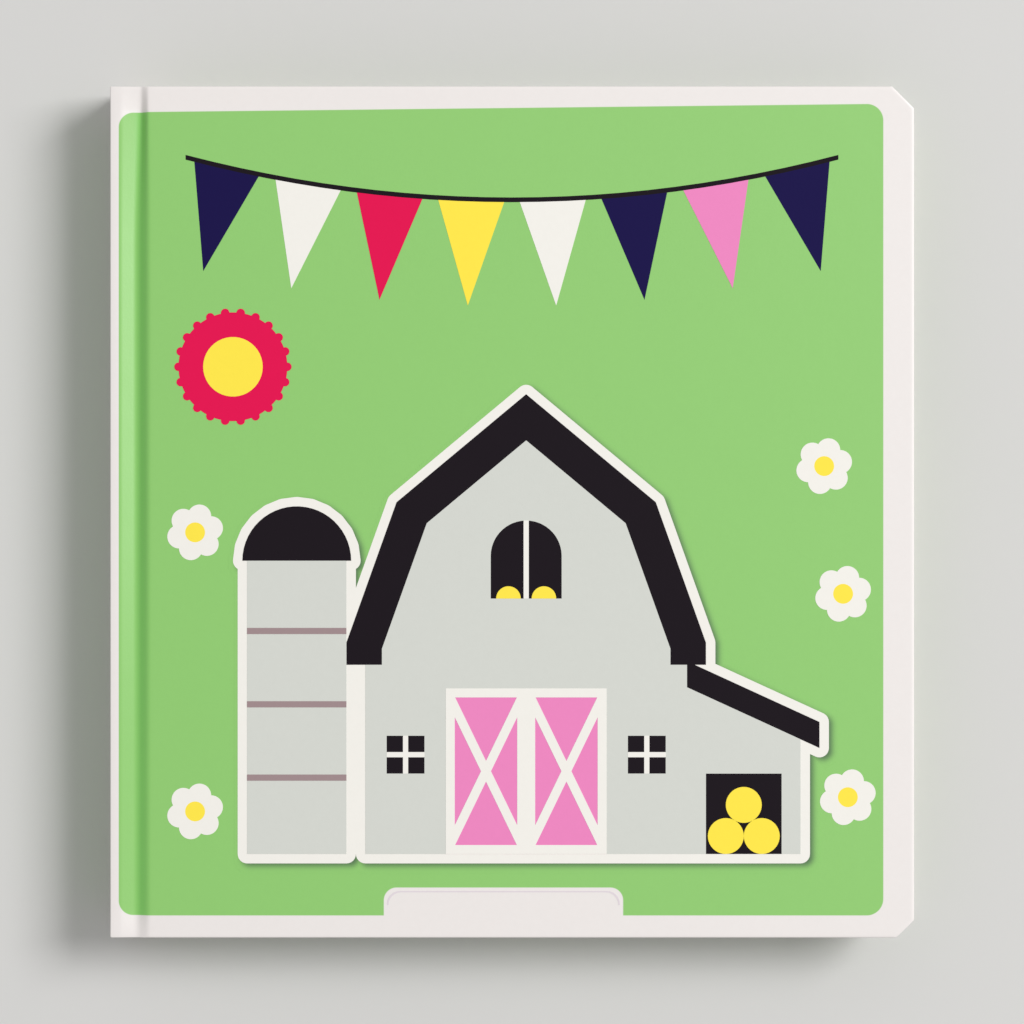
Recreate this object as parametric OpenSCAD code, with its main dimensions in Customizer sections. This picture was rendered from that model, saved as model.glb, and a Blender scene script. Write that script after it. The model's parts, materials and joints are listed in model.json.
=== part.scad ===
// Pop-up book, closed and lying on its back cover, in millimetres.
// The spine is at -X, the fore-edge at +X, the head at +Y and the front cover faces +Z.
// The origin is the centre of the footprint, on the table.

/* [Book] */
// Width from the spine to the fore-edge
book_w = 170; // [160:1:200]
// Height from the tail to the head
book_h = 180; // [170:1:210]

/* [Cover] */
// Thickness of the grey board inside each cover
board_t = 2; // [1.5:0.1:3]
// Thickness of the laminated cover sheet
sheet_t = 0.2; // [0.15:0.05:0.3]
// Thickness of the card pasted inside each cover
pastedown_t = 0.3; // [0.2:0.05:0.5]
// Width of the sheet's turn-ins inside each cover
turn_in_w = 14; // [8:1:20]
// Leg of the 45 degree cut on the fore-edge corner at the head
corner_cut_head = 4.6; // [3:0.1:7]
// Leg of the 45 degree cut on the fore-edge corner at the tail
corner_cut_tail = 3.7; // [3:0.1:7]

/* [Spine and hinges] */
// Thickness of the spine board
spine_t = 2; // [1.5:0.1:2.5]
// Radius of the spine's two long edges
spine_edge_r = 1; // [0.8:0.1:1.5]
// Depth of the spine's edge below the cover's face
shoulder_drop = 0.6; // [0.6:0.05:0.8]
// Width of the level shoulder over the spine board
shoulder_w = 2.2; // [2:0.1:3]
// Width of the slope from the shoulder down to the groove
groove_slope_w = 3.2; // [2.6:0.1:3.8]
// Width of the groove's flat bottom
groove_flat_w = 2.6; // [2.2:0.1:3.2]
// Depth of the groove below the cover's face
groove_depth = 1.5; // [1.4:0.05:1.7]
// Room for the bending sheet between the groove and the cover board
hinge_gap = 0.3; // [0.2:0.05:0.5]
// Distance of the page gutter behind the end of the hinge strip
gutter_setback = 0.3; // [0.2:0.1:0.8]

/* [Pages] */
// Thickness of a leaf, two cards glued back to back
leaf_t = 0.7; // [0.5:0.05:1]
// Room between two leaves for a folded pop-up
spread_gap = 2.2; // [2:0.1:3.5]
// Distance of the leaves inside the cover's three free edges
page_margin = 2; // [1:0.5:3]

/* [Pop-ups] */
// Thickness of the pop-up card
card_t = 0.3; // [0.2:0.05:0.4]
// Clearance of a pop-up from a cover that swings away from it
popup_air = 0.3; // [0.2:0.05:0.4]
// Distance from the gutter to a pop-up's first glue line
popup_base = 8; // [6:1:14]
// Distance from the gutter to a pop-up's ridge fold
popup_ridge = 62; // [55:1:75]
// Distance from the gutter to a brace's first glue line
brace_base = 14; // [12:1:20]
// Distance from the gutter to a brace's fold
brace_ridge = 40; // [30:1:46]
// Width of a brace along the gutter
brace_w = 22; // [14:1:30]
// Width of the barn pop-up's wall
popup_wall_w = 84; // [60:1:100]
// Width of the barn pop-up's roof
popup_roof_w = 96; // [70:1:120]
// Height of the barn pop-up's eaves above the gutter
popup_eave_h = 32; // [24:1:40]
// Radius of the tree's crown
crown_r = 22; // [16:1:30]
// Radius of the crown's side lobes
lobe_r = 15; // [10:1:20]
// Offset of the side lobes
lobe_x = 19; // [14:1:24]
// Width of the cart
cart_w = 78; // [60:1:100]
// Height of the cart's floor above the gutter
cart_floor_h = 20; // [16:1:26]
// Radius of the cart's wheels
wheel_r = 11; // [8:1:12]
// Offset of the cart's wheels
wheel_x = 26; // [22:1:28]
// Width of the haystack
haystack_w = 90; // [60:1:110]
// Width of a fence picket
picket_w = 9; // [6:1:11]
// Distance between two pickets
picket_pitch = 15; // [13:1:18]
// Number of pickets
pickets = 7; // [3:2:9]
// Width of a fence rail
rail_w = 5; // [3:1:8]

/* [Printed panel] */
// Thickness of one printed layer
print_t = 0.04; // [0.03:0.01:0.06]
// White border at the spine
border_spine = 1.8; // [1.6:0.1:3]
// White border at the fore-edge
border_fore = 6.5; // [5:0.1:10]
// White border at the tail
border_tail = 4.7; // [3:0.1:8]
// White border at the head, beside the spine
border_head_spine = 5.5; // [3:0.1:8]
// White border at the head, beside the fore-edge
border_head_fore = 3.7; // [3:0.1:8]
// Corner radius of the panel at the fore-edge
panel_r = 3.5; // [2:0.1:8]
// Corner radius of the panel at the spine
panel_spine_r = 3.1; // [1:0.1:5]
// Width of the blank label tab
tab_w = 50.6; // [30:0.2:70]
// Height of the blank label tab above the panel's lower edge
tab_h = 5.9; // [4:0.1:9]
// Corner radius of the label tab
tab_r = 2.7; // [1:0.1:3.5]
// Offset of the label tab from the middle of the cover
tab_x = -1.8; // [-20:0.1:20]
// Distance of the thin line inside the tab's edge
tab_line_in = 0.7; // [0.4:0.1:2]
// Width of the thin line in the tab
tab_line_w = 0.3; // [0.2:0.05:0.6]
// Length of the thin line down the tab's sides
tab_line_drop = 3; // [1:0.1:6]
// Width of the green field on the spine
spine_field_w = 12; // [8:0.5:14]

/* [Printed farmyard] */
// Width of the white edge round each printed sticker
sticker_edge = 2; // [1:0.1:3]
// Sideways shift of the printed shadow
shadow_shift = 1.3; // [0.5:0.1:2.5]
// Height of the ground line above the panel's lower edge
ground_h = 13; // [11:1:20]
// Offset of the barn from the middle of the cover
barn_x = 3; // [-6:1:8]
// Width of the barn wall
barn_w = 68; // [56:1:72]
// Height of the eaves
eave_h = 44; // [40:1:50]
// Height where the roof changes slope
knee_h = 72; // [64:1:78]
// Height of the ridge
ridge_h = 92; // [84:1:98]
// Half width of the roof where it changes slope
knee_x = 24; // [20:1:27]
// Overhang of the roof
roof_over = 4; // [2:0.5:5]
// Width of the roof band
roof_band = 7.5; // [5:0.5:9]
// Width of the double door
door_w = 34; // [28:1:36]
// Height of the double door
door_h = 35; // [28:1:38]
// Width of the white bars on the doors
bar_w = 1.9; // [1:0.1:2.5]
// Width of the white bars in the windows
mullion_w = 1.1; // [0.6:0.1:1.6]
// Side of the square windows
window_w = 8; // [6:0.5:9]
// Height of the window sills
sill_h = 17; // [12:1:24]
// Width of the hayloft door
loft_w = 15; // [10:1:20]
// Height of the hayloft door's sill
loft_sill_h = 54; // [48:1:58]
// Height of the hayloft door below its arch
loft_h = 9; // [6:1:12]
// Width of the silo
silo_w = 21; // [16:1:24]
// Height of the silo below its dome
silo_h = 62; // [50:1:70]
// Overhang of the silo's dome
dome_over = 1; // [0.5:0.1:2]
// Number of hoops on the silo
hoops = 3; // [1:1:6]
// Width of a hoop
hoop_w = 1.3; // [0.6:0.1:2]
// Width of the lean-to shed
shed_w = 24; // [16:1:26]
// Height of the shed's outer wall
shed_h = 27; // [22:1:32]
// Height of the shed's wall beside the barn
shed_top_h = 38; // [34:1:40]
// Width of the shed's roof band
shed_band = 5.5; // [3:0.5:8]
// Width of the shed's opening
shed_door_w = 16; // [8:1:18]
// Height of the shed's opening
shed_door_h = 17; // [10:1:18]
// Radius of a straw bale in the shed
bale_r = 3.8; // [2:0.1:3.9]
// Radius of the hay in the hayloft
hay_r = 2.6; // [1.5:0.1:3]

/* [Printed ornaments] */
// Number of pennants on the bunting
pennants = 8; // [5:1:10]
// Width of a pennant
pennant_w = 14; // [8:0.5:15]
// Length of a pennant
pennant_l = 22; // [12:1:26]
// Width of the bunting from end to end
bunting_w = 138; // [110:1:146]
// Sag of the bunting's string
bunting_sag = 9; // [4:1:14]
// Distance of the string's ends below the panel's upper edge
bunting_drop = 9; // [7:1:14]
// Width of the string
string_w = 1; // [0.6:0.1:1.6]
// Radius of the sun rosette
sun_r = 11.5; // [8:0.5:14]
// Offset of the sun rosette from the middle of the cover
sun_x = -59; // [-64:1:-52]
// Height of the sun rosette above the ground line
sun_h = 103; // [98:1:106]
// Number of scallops round the rosette
scallops = 22; // [12:1:26]
// Radius of a scallop
scallop_r = 0.9; // [0.5:0.1:1.4]
// Radius of the rosette's yellow middle
sun_heart_r = 6.3; // [3:0.1:7.5]
// Radius of a daisy
daisy_r = 6; // [4:0.5:6.5]
// Radius of a petal
petal_r = 2.5; // [1.5:0.1:2.8]
// Radius of a daisy's yellow middle
heart_r = 2.1; // [1:0.1:2.6]
// Number of petals
petals = 6; // [5:1:7]
// Turn of the first petal
petal_turn = 15; // [0:1:60]

/* [Hidden] */
$fn = 48;
SPREADS = 5;
GREEN = [0.56, 0.79, 0.45];
DARK_GREEN = [0.4, 0.62, 0.3];
PAPER = [0.93, 0.91, 0.89];
CARD = [0.95, 0.94, 0.91];
GREY_BOARD = [0.62, 0.6, 0.56];
PALE_GREY = [0.83, 0.84, 0.81];
BLACK = [0.12, 0.09, 0.12];
PINK = [0.93, 0.5, 0.74];
CRIMSON = [0.88, 0.06, 0.31];
YELLOW = [0.97, 0.87, 0.3];
NAVY = [0.11, 0.07, 0.29];
MAUVE = [0.62, 0.54, 0.54];
ARC_STEPS = 6;

cover_t = sheet_t + board_t + pastedown_t;
block_t = SPREADS * spread_gap + (SPREADS - 1) * leaf_t;
book_t = 2 * cover_t + block_t;

cover_x0 = shoulder_w + groove_slope_w + groove_flat_w;
strip_x1 = cover_x0 - hinge_gap;
gutter_x = strip_x1 - gutter_setback;
board_z0 = book_t - sheet_t - board_t;

panel_x0 = border_spine;
panel_x1 = book_w - border_fore;
panel_y0 = border_tail - book_h / 2;
panel_y1_spine = book_h / 2 - border_head_spine;
panel_y1_fore = book_h / 2 - border_head_fore;
tab_y1 = panel_y0 + tab_h;
ground_y = panel_y0 + ground_h;
window_x = (barn_w + door_w) / 4;

// Unit vector along v.
function unit(v) = v / norm(v);

// Points of an arc about c, from angle a0 to angle a1.
function arc(c, r, a0, a1, steps = ARC_STEPS) =
    [for (i = [0:steps]) c + r * [cos(a0 + (a1 - a0) * i / steps), sin(a0 + (a1 - a0) * i / steps)]];

// Arc that rounds the corner p of a polygon between its neighbours before and after.
function rounded_corner(before, p, after, r) =
    let (
        u = unit(before - p),
        v = unit(after - p),
        half = acos(u * v) / 2,
        c = p + unit(u + v) * r / sin(half),
        a = p + u * r / tan(half) - c,
        b = p + v * r / tan(half) - c,
        a0 = atan2(a.y, a.x),
        turn = (atan2(b.y, b.x) - a0 + 540) % 360 - 180
    )
    arc(c, r, a0, a0 + turn);

// Closed polygon whose corners are rounded by the matching radii.
function rounded_polygon(points, radii) =
    let (n = len(points))
    [for (i = [0:n - 1])
        each rounded_corner(points[(i + n - 1) % n], points[i], points[(i + 1) % n], radii[i])];

// Everything is drawn with x measured from the spine, then moved to the middle of the book.
module place() {
    translate([-book_w / 2, 0, 0]) children();
}

// Turns a piece of the front cover over to the back cover.
module on_back() {
    translate([0, 0, book_t]) mirror([0, 0, 1]) children();
}

// Solid between two heights with the plan of its children.
module slab(z0, z1) {
    translate([0, 0, z0]) linear_extrude(z1 - z0) children();
}

// Solid of length l along the spine with the x-z section of its children.
module along_spine(l) {
    rotate([90, 0, 0]) linear_extrude(l, center = true) children();
}

// Plan of a cover, drawn in by inset on its three free edges.
module cover_plan(inset, left) {
    x1 = book_w - inset;
    y1 = book_h / 2 - inset;
    head_cut = corner_cut_head - inset * (2 - sqrt(2));
    tail_cut = corner_cut_tail - inset * (2 - sqrt(2));
    polygon([[left, -y1], [x1 - tail_cut, -y1], [x1, tail_cut - y1],
        [x1, y1 - head_cut], [x1 - head_cut, y1], [left, y1]]);
}

// Opening that the turn-ins leave on the inside of a cover.
module turn_in_window() {
    half = book_h / 2 - turn_in_w;
    x0 = cover_x0 + sheet_t;
    translate([x0, -half]) square([book_w - turn_in_w - x0, 2 * half]);
}

// Section of the case round the spine, drawn in by inset from its outer face.
module case_section(inset) {
    top = book_t - shoulder_drop;
    half = concat(
        [[strip_x1, book_t - groove_depth - inset],
            [shoulder_w + groove_slope_w, book_t - groove_depth - inset],
            [shoulder_w, top - inset]],
        arc([spine_edge_r, top - spine_edge_r], spine_edge_r - inset, 90, 180));
    n = len(half);
    polygon(concat(half, [for (i = [n - 1:-1:0]) [half[i].x, book_t - half[i].y]]));
}

// Grey board of a cover, thinned at its edges where the turn-ins are pressed in.
module cover_board() {
    color(GREY_BOARD) {
        slab(board_z0 + sheet_t, book_t - sheet_t) cover_plan(sheet_t, cover_x0 + sheet_t);
        slab(board_z0, board_z0 + sheet_t) turn_in_window();
    }
}

// Printed sheet over a cover board, turned in on three edges.
module cover_sheet() {
    color(PAPER) difference() {
        slab(board_z0, book_t) cover_plan(0, cover_x0);
        slab(board_z0 + sheet_t, book_t - sheet_t) cover_plan(sheet_t, cover_x0 + sheet_t);
        slab(board_z0 - 1, board_z0 + sheet_t + 0.01) turn_in_window();
        slab(book_t - print_t, book_t + 1) children();
    }
}

// Half of the first or last spread, pasted inside a cover.
module pastedown() {
    color(CARD) slab(book_t - cover_t, board_z0) cover_plan(page_margin, cover_x0 + sheet_t);
}

// Outline of the green panel over the whole cover, hinge included.
module panel_plan() {
    polygon(rounded_polygon(
        [[panel_x0, panel_y0], [panel_x1, panel_y0], [panel_x1, panel_y1_fore], [panel_x0, panel_y1_spine]],
        [panel_spine_r, panel_r, panel_r, panel_spine_r]));
}

// Blank label tab, grown by grow and reaching below the panel's lower edge.
module tab_plan(grow) {
    half = tab_w / 2 + grow;
    x = book_w / 2 + tab_x;
    y1 = tab_y1 + grow;
    foot = panel_y0 - 1;
    polygon(concat(
        [[x - half, foot], [x + half, foot]],
        arc([x + half - tab_r, y1 - tab_r], tab_r, 0, 90),
        arc([x - half + tab_r, y1 - tab_r], tab_r, 90, 180)));
}

// Part of a plan to the right of the cover's hinge edge.
module on_cover() {
    intersection() {
        children();
        translate([cover_x0, -book_h]) square([book_w, 2 * book_h]);
    }
}

module front_panel_plan() {
    on_cover() difference() {
        panel_plan();
        tab_plan(0);
    }
}

module back_panel_plan() {
    on_cover() panel_plan();
}

// Green field let into the face of a cover.
module cover_field() {
    color(GREEN) slab(book_t - print_t, book_t) children();
}

// Green field let into the hinge strip beside the spine.
module hinge_field() {
    color(GREEN) intersection() {
        along_spine(book_h) difference() {
            case_section(0);
            case_section(print_t);
        }
        slab(book_t / 2, book_t) intersection() {
            panel_plan();
            translate([0, -book_h]) square([strip_x1, 2 * book_h]);
        }
    }
}

// Green field let into the spine.
module spine_field() {
    w = spine_field_w;
    y0 = panel_y0;
    y1 = panel_y1_spine;
    r = panel_spine_r;
    corners = [[y0, -w / 2], [y1, -w / 2], [y1, w / 2], [y0, w / 2]];
    color(GREEN)
        rotate([90, 0, 90])
            linear_extrude(print_t)
                translate([0, book_t / 2])
                    polygon(rounded_polygon(corners, [r, r, r, r]));
}

// Sheet round the spine, from one hinge groove to the other.
module spine_sheet() {
    color(PAPER) difference() {
        along_spine(book_h) difference() {
            case_section(0);
            case_section(sheet_t);
        }
        hinge_field();
        on_back() hinge_field();
        spine_field();
    }
}

// Band of the case section between two distances from the spine.
module section_band(x0, x1) {
    intersection() {
        case_section(sheet_t);
        translate([x0, 0]) square([x1 - x0, book_t]);
    }
}

module spine_board() {
    color(GREY_BOARD) along_spine(book_h - 2 * sheet_t) section_band(0, sheet_t + spine_t);
}

// Height of the lower face of a spread's gap, counted from the front cover.
function gap_z0(spread) = book_t - cover_t - spread * spread_gap - (spread - 1) * leaf_t;

// Leaves glued into one block along the spine, with a rounded fold in each gutter.
module page_block() {
    fold_r = spread_gap / 2;
    stub_x0 = sheet_t + spine_t;
    color(CARD) difference() {
        union() {
            along_spine(book_h - 2 * page_margin) section_band(stub_x0, gutter_x);
            slab(cover_t + spread_gap, book_t - cover_t - spread_gap) cover_plan(page_margin, stub_x0);
        }
        for (spread = [2:SPREADS - 1]) {
            z = gap_z0(spread) + fold_r;
            along_spine(book_h) translate([gutter_x + fold_r, z]) circle(fold_r);
            translate([gutter_x + fold_r, -book_h / 2, z - fold_r]) cube([book_w, book_h, spread_gap]);
        }
    }
}

// Section of a card folded at x1, with both halves lying flat from x0.
module fold_section(z0, z1, x0, x1) {
    r = (z1 - z0) / 2;
    difference() {
        union() {
            translate([x0, z0]) square([x1 - r - x0, 2 * r]);
            translate([x1 - r, z0 + r]) circle(r);
        }
        translate([x0 - 1, z0 + card_t]) square([x1 - r - x0 + 1, 2 * (r - card_t)]);
        translate([x1 - r, z0 + r]) circle(r - card_t);
    }
}

// Room of a pop-up in its spread: it touches both faces, but stays clear of a cover.
function popup_z0(spread) = gap_z0(spread) + (spread == SPREADS ? popup_air : 0);
function popup_z1(spread) = gap_z0(spread) + spread_gap - (spread == 1 ? popup_air : 0);

// Folded pop-up card, die-cut to the plan of its children.
// The plan is drawn with x as height above the gutter and y along it.
module popup_card(spread, tint) {
    color(tint) intersection() {
        along_spine(book_h) fold_section(popup_z0(spread), popup_z1(spread),
            gutter_x + popup_base, gutter_x + popup_ridge);
        slab(0, book_t) translate([gutter_x, 0]) children();
    }
}

// Folded strip inside a pop-up that pushes it open.
module popup_brace(spread) {
    color(CARD) intersection() {
        along_spine(brace_w) fold_section(popup_z0(spread) + card_t, popup_z1(spread) - card_t,
            gutter_x + brace_base, gutter_x + brace_ridge);
    }
}

// Rectangle between two heights above the gutter, centred along it.
module strip_plan(x0, x1, w) {
    translate([x0, -w / 2]) square([x1 - x0, w]);
}

module barn_plan() {
    strip_plan(0, popup_eave_h, popup_wall_w);
    strip_plan(popup_eave_h, popup_ridge, popup_roof_w);
}

module tree_plan() {
    crown_x = popup_ridge - crown_r / 2;
    strip_plan(0, crown_x, brace_w);
    translate([crown_x, 0]) circle(crown_r);
    for (side = [-1, 1]) translate([crown_x - lobe_r / 2, side * lobe_x]) circle(lobe_r);
}

module cart_plan() {
    strip_plan(cart_floor_h, popup_ridge, cart_w);
    for (side = [-1, 1]) translate([cart_floor_h, side * wheel_x]) circle(wheel_r);
    strip_plan(0, cart_floor_h, brace_w);
}

module haystack_plan() {
    r = haystack_w / 2;
    intersection() {
        translate([popup_ridge - r, 0]) circle(r);
        strip_plan(0, popup_ridge, haystack_w);
    }
    strip_plan(0, popup_ridge - r, haystack_w);
}

module fence_plan() {
    span = (pickets - 1) * picket_pitch + picket_w;
    for (i = [0:pickets - 1])
        translate([0, picket_pitch * (i - (pickets - 1) / 2)]) strip_plan(0, popup_ridge, picket_w);
    for (x = [popup_base + rail_w, popup_ridge - 3 * rail_w]) strip_plan(x, x + rail_w, span);
}

// Printed layer n on the front cover, drawn about the middle of the book.
module printed(n, tint) {
    color(tint)
        slab(book_t + (n - 1) * print_t, book_t + n * print_t)
            translate([book_w / 2, 0]) children();
}

// Straight bar between two points.
module bar(p, q, w) {
    side = [-(q - p).y, (q - p).x] * w / (2 * norm(q - p));
    polygon([p + side, p - side, q - side, q + side]);
}

// Rectangle that stands on a height and is centred on x.
module standing(x, y, w, h) {
    translate([x - w / 2, y]) square([w, h]);
}

module at_barn() {
    translate([barn_x, ground_y]) children();
}

// Gable wall of the barn, up to its double-sloped roof line.
module wall_plan() {
    x = barn_w / 2;
    polygon([[-x, 0], [x, 0], [x, eave_h], [knee_x, knee_h], [0, ridge_h], [-knee_x, knee_h], [-x, eave_h]]);
}

module roof_plan() {
    difference() {
        intersection() {
            offset(delta = roof_over) wall_plan();
            standing(0, eave_h - roof_over, 2 * barn_w, 2 * ridge_h);
        }
        offset(delta = roof_over - roof_band) wall_plan();
    }
}

module silo_place() {
    translate([-barn_w / 2 - roof_over - silo_w / 2, 0]) children();
}

module silo_dome_plan() {
    silo_place() intersection() {
        translate([0, silo_h]) circle(silo_w / 2 + dome_over);
        standing(0, silo_h, 2 * silo_w, silo_w);
    }
}

module silo_wall_plan() {
    silo_place() standing(0, 0, silo_w, silo_h);
}

module shed_place() {
    translate([barn_w / 2, 0]) children();
}

module shed_wall_plan() {
    shed_place() polygon([[0, 0], [shed_w, 0], [shed_w, shed_h], [0, shed_top_h]]);
}

// The shed's roof follows the slope of its wall and stands out by the roof's overhang.
module shed_roof_plan() {
    eave_x = shed_w + roof_over;
    slope = (shed_top_h - shed_h) / shed_w;
    outer_h = shed_top_h - slope * eave_x;
    shed_place() polygon([[0, shed_top_h - shed_band / 2], [eave_x, outer_h - shed_band / 2],
        [eave_x, outer_h + shed_band / 2], [0, shed_top_h + shed_band / 2]]);
}

module farm_plan() {
    wall_plan();
    roof_plan();
    silo_wall_plan();
    silo_dome_plan();
    shed_wall_plan();
    shed_roof_plan();
}

// White sticker edge round the farm buildings.
module farm_sticker() {
    at_barn() offset(r = sticker_edge, $fn = 24) farm_plan();
}

module door_plan() {
    standing(0, 0, door_w, door_h);
}

module windows_plan() {
    for (side = [-1, 1]) standing(side * window_x, sill_h, window_w, window_w);
}

module loft_plan() {
    standing(0, loft_sill_h, loft_w, loft_h);
    translate([0, loft_sill_h + loft_h]) circle(loft_w / 2);
}

module shed_opening_plan() {
    shed_place() standing(shed_w / 2, 0, shed_door_w, shed_door_h);
}

// Everything drawn in black on the buildings.
module black_on_farm() {
    roof_plan();
    silo_dome_plan();
    shed_roof_plan();
    windows_plan();
    loft_plan();
    shed_opening_plan();
}

// White frame of a rectangle standing on height y, with both diagonals.
module braced_frame(x, y, w, h) {
    inner_w = w - 2 * bar_w;
    difference() {
        standing(x, y, w, h);
        standing(x, y + bar_w, inner_w, h - 2 * bar_w);
    }
    intersection() {
        standing(x, y, w, h);
        union() {
            bar([x - w / 2, y], [x + w / 2, y + h], bar_w);
            bar([x - w / 2, y + h], [x + w / 2, y], bar_w);
        }
    }
}

module white_on_farm() {
    leaf_w = door_w / 2;
    for (side = [-1, 1]) braced_frame(side * leaf_w / 2, 0, leaf_w, door_h);
    for (side = [-1, 1]) {
        standing(side * window_x, sill_h, mullion_w, window_w);
        translate([side * window_x, sill_h + window_w / 2]) square([window_w, mullion_w], center = true);
    }
    standing(0, loft_sill_h, mullion_w, loft_h + loft_w / 2);
}

module yellow_on_farm() {
    shed_place() for (side = [-1, 1]) translate([shed_w / 2 + side * bale_r, bale_r]) circle(bale_r);
    shed_place() translate([shed_w / 2, bale_r * (1 + sqrt(3))]) circle(bale_r);
    for (side = [-1, 1]) translate([side * loft_w / 4, loft_sill_h]) intersection() {
        circle(hay_r);
        standing(0, 0, 2 * hay_r, hay_r);
    }
}

module mauve_on_farm() {
    for (i = [1:hoops]) silo_place() standing(0, silo_h * i / (hoops + 1), silo_w, hoop_w);
}

// Height of the bunting's string at x.
function string_y(x) =
    panel_y1_spine - bunting_drop - bunting_sag * (1 - pow(2 * x / bunting_w, 2));

module string_plan() {
    steps = 24;
    xs = [for (i = [0:steps]) bunting_w * (i / steps - 0.5)];
    polygon(concat(
        [for (x = xs) [x, string_y(x)]],
        [for (i = [steps:-1:0]) [xs[i], string_y(xs[i]) - string_w]]));
}

// Pennant i of the bunting, hung below the string.
module pennant(i) {
    x = bunting_w * ((i + 0.5) / pennants - 0.5);
    lean = atan(8 * bunting_sag * x / (bunting_w * bunting_w));
    translate([x, string_y(x) - string_w])
        rotate(lean)
            polygon([[-pennant_w / 2, 0.2], [0, -pennant_l], [pennant_w / 2, 0.2]]);
}

// The pennants whose place in the colour order is one of the given ones.
module pennants_of(places) {
    difference() {
        for (i = [0:pennants - 1]) if (len([for (p = places) if (p == i % 7) p]) > 0) pennant(i);
        string_plan();
    }
}

// Round rosette with a scalloped edge.
module rosette_plan() {
    circle(sun_r);
    for (i = [0:scallops - 1])
        rotate(360 * i / scallops) translate([sun_r, 0]) circle(scallop_r, $fn = 16);
}

module sun_place() {
    translate([sun_x, ground_y + sun_h]) children();
}

// Daisies beside the buildings, as x and height above the ground line.
DAISIES = [[-67, 68], [-67, 9], [66, 82], [70, 55], [71, 12]];

module daisy_petals() {
    for (spot = DAISIES) translate([spot.x, ground_y + spot.y])
        for (i = [0:petals - 1])
            rotate(360 * i / petals + petal_turn)
                translate([daisy_r - petal_r, 0]) circle(petal_r, $fn = 24);
}

module daisy_hearts() {
    for (spot = DAISIES) translate([spot.x, ground_y + spot.y]) circle(heart_r, $fn = 24);
}

// Thin line inside the edge of the label tab.
module tab_line_plan() {
    translate([-book_w / 2, 0]) intersection() {
        difference() {
            tab_plan(-tab_line_in);
            tab_plan(-tab_line_in - tab_line_w);
        }
        translate([0, tab_y1 - tab_line_in - tab_line_drop]) square(book_w);
    }
}

module print_shadow() {
    printed(1, DARK_GREEN) difference() {
        translate([shadow_shift, -shadow_shift]) farm_sticker();
        farm_sticker();
    }
}

module print_white() {
    printed(1, PAPER) {
        farm_sticker();
        difference() {
            daisy_petals();
            daisy_hearts();
        }
        pennants_of([1, 4]);
    }
    printed(3, PAPER) at_barn() white_on_farm();
}

module print_grey() {
    printed(2, PALE_GREY) at_barn() difference() {
        union() {
            wall_plan();
            silo_wall_plan();
            shed_wall_plan();
        }
        black_on_farm();
        door_plan();
    }
}

module print_black() {
    printed(2, BLACK) at_barn() black_on_farm();
    printed(1, BLACK) string_plan();
}

module print_pink() {
    printed(2, PINK) at_barn() door_plan();
    printed(1, PINK) pennants_of([6]);
}

module print_crimson() {
    printed(1, CRIMSON) {
        sun_place() rosette_plan();
        pennants_of([2]);
    }
}

module print_yellow() {
    printed(1, YELLOW) {
        daisy_hearts();
        pennants_of([3]);
    }
    printed(2, YELLOW) sun_place() circle(sun_heart_r);
    printed(3, YELLOW) at_barn() yellow_on_farm();
}

module print_navy() {
    printed(1, NAVY) pennants_of([0, 5]);
}

module print_mauve() {
    printed(3, MAUVE) at_barn() mauve_on_farm();
    printed(1, MAUVE) tab_line_plan();
}

place() page_block();
place() spine_board();
place() spine_sheet();
place() spine_field();  // spine_field_green
place() hinge_field();  // front_hinge_field_green
place() on_back() hinge_field();  // back_hinge_field_green
place() popup_card(1, PALE_GREY) barn_plan();  // popup_1_barn
place() popup_brace(1);  // popup_1_brace
place() popup_card(2, GREEN) tree_plan();  // popup_2_tree
place() popup_brace(2);  // popup_2_brace
place() popup_card(3, CRIMSON) cart_plan();  // popup_3_cart
place() popup_brace(3);  // popup_3_brace
place() popup_card(4, YELLOW) haystack_plan();  // popup_4_haystack
place() popup_brace(4);  // popup_4_brace
place() popup_card(5, CARD) fence_plan();  // popup_5_fence
place() popup_brace(5);  // popup_5_brace
place() cover_board();  // front_board
place() cover_sheet() front_panel_plan();  // front_sheet
place() pastedown();  // front_pastedown
place() cover_field() front_panel_plan();  // front_field_green
place() print_shadow();
place() print_white();
place() print_grey();
place() print_black();
place() print_pink();
place() print_crimson();
place() print_yellow();
place() print_navy();
place() print_mauve();
place() on_back() cover_board();  // back_board
place() on_back() cover_sheet() back_panel_plan();  // back_sheet
place() on_back() pastedown();  // back_pastedown
place() on_back() cover_field() back_panel_plan();  // back_field_green
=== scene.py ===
"""Looks of the closed pop-up book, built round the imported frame.

Sizes are in millimetres until a mesh is made, and MM turns them into metres.
x runs from the spine (-) to the fore-edge (+), y from the tail (-) to the head (+), and
z up out of the front cover.
"""

import json
import math

import bmesh
import bpy
import numpy as np
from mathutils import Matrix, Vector
from mathutils.geometry import tessellate_polygon


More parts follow.
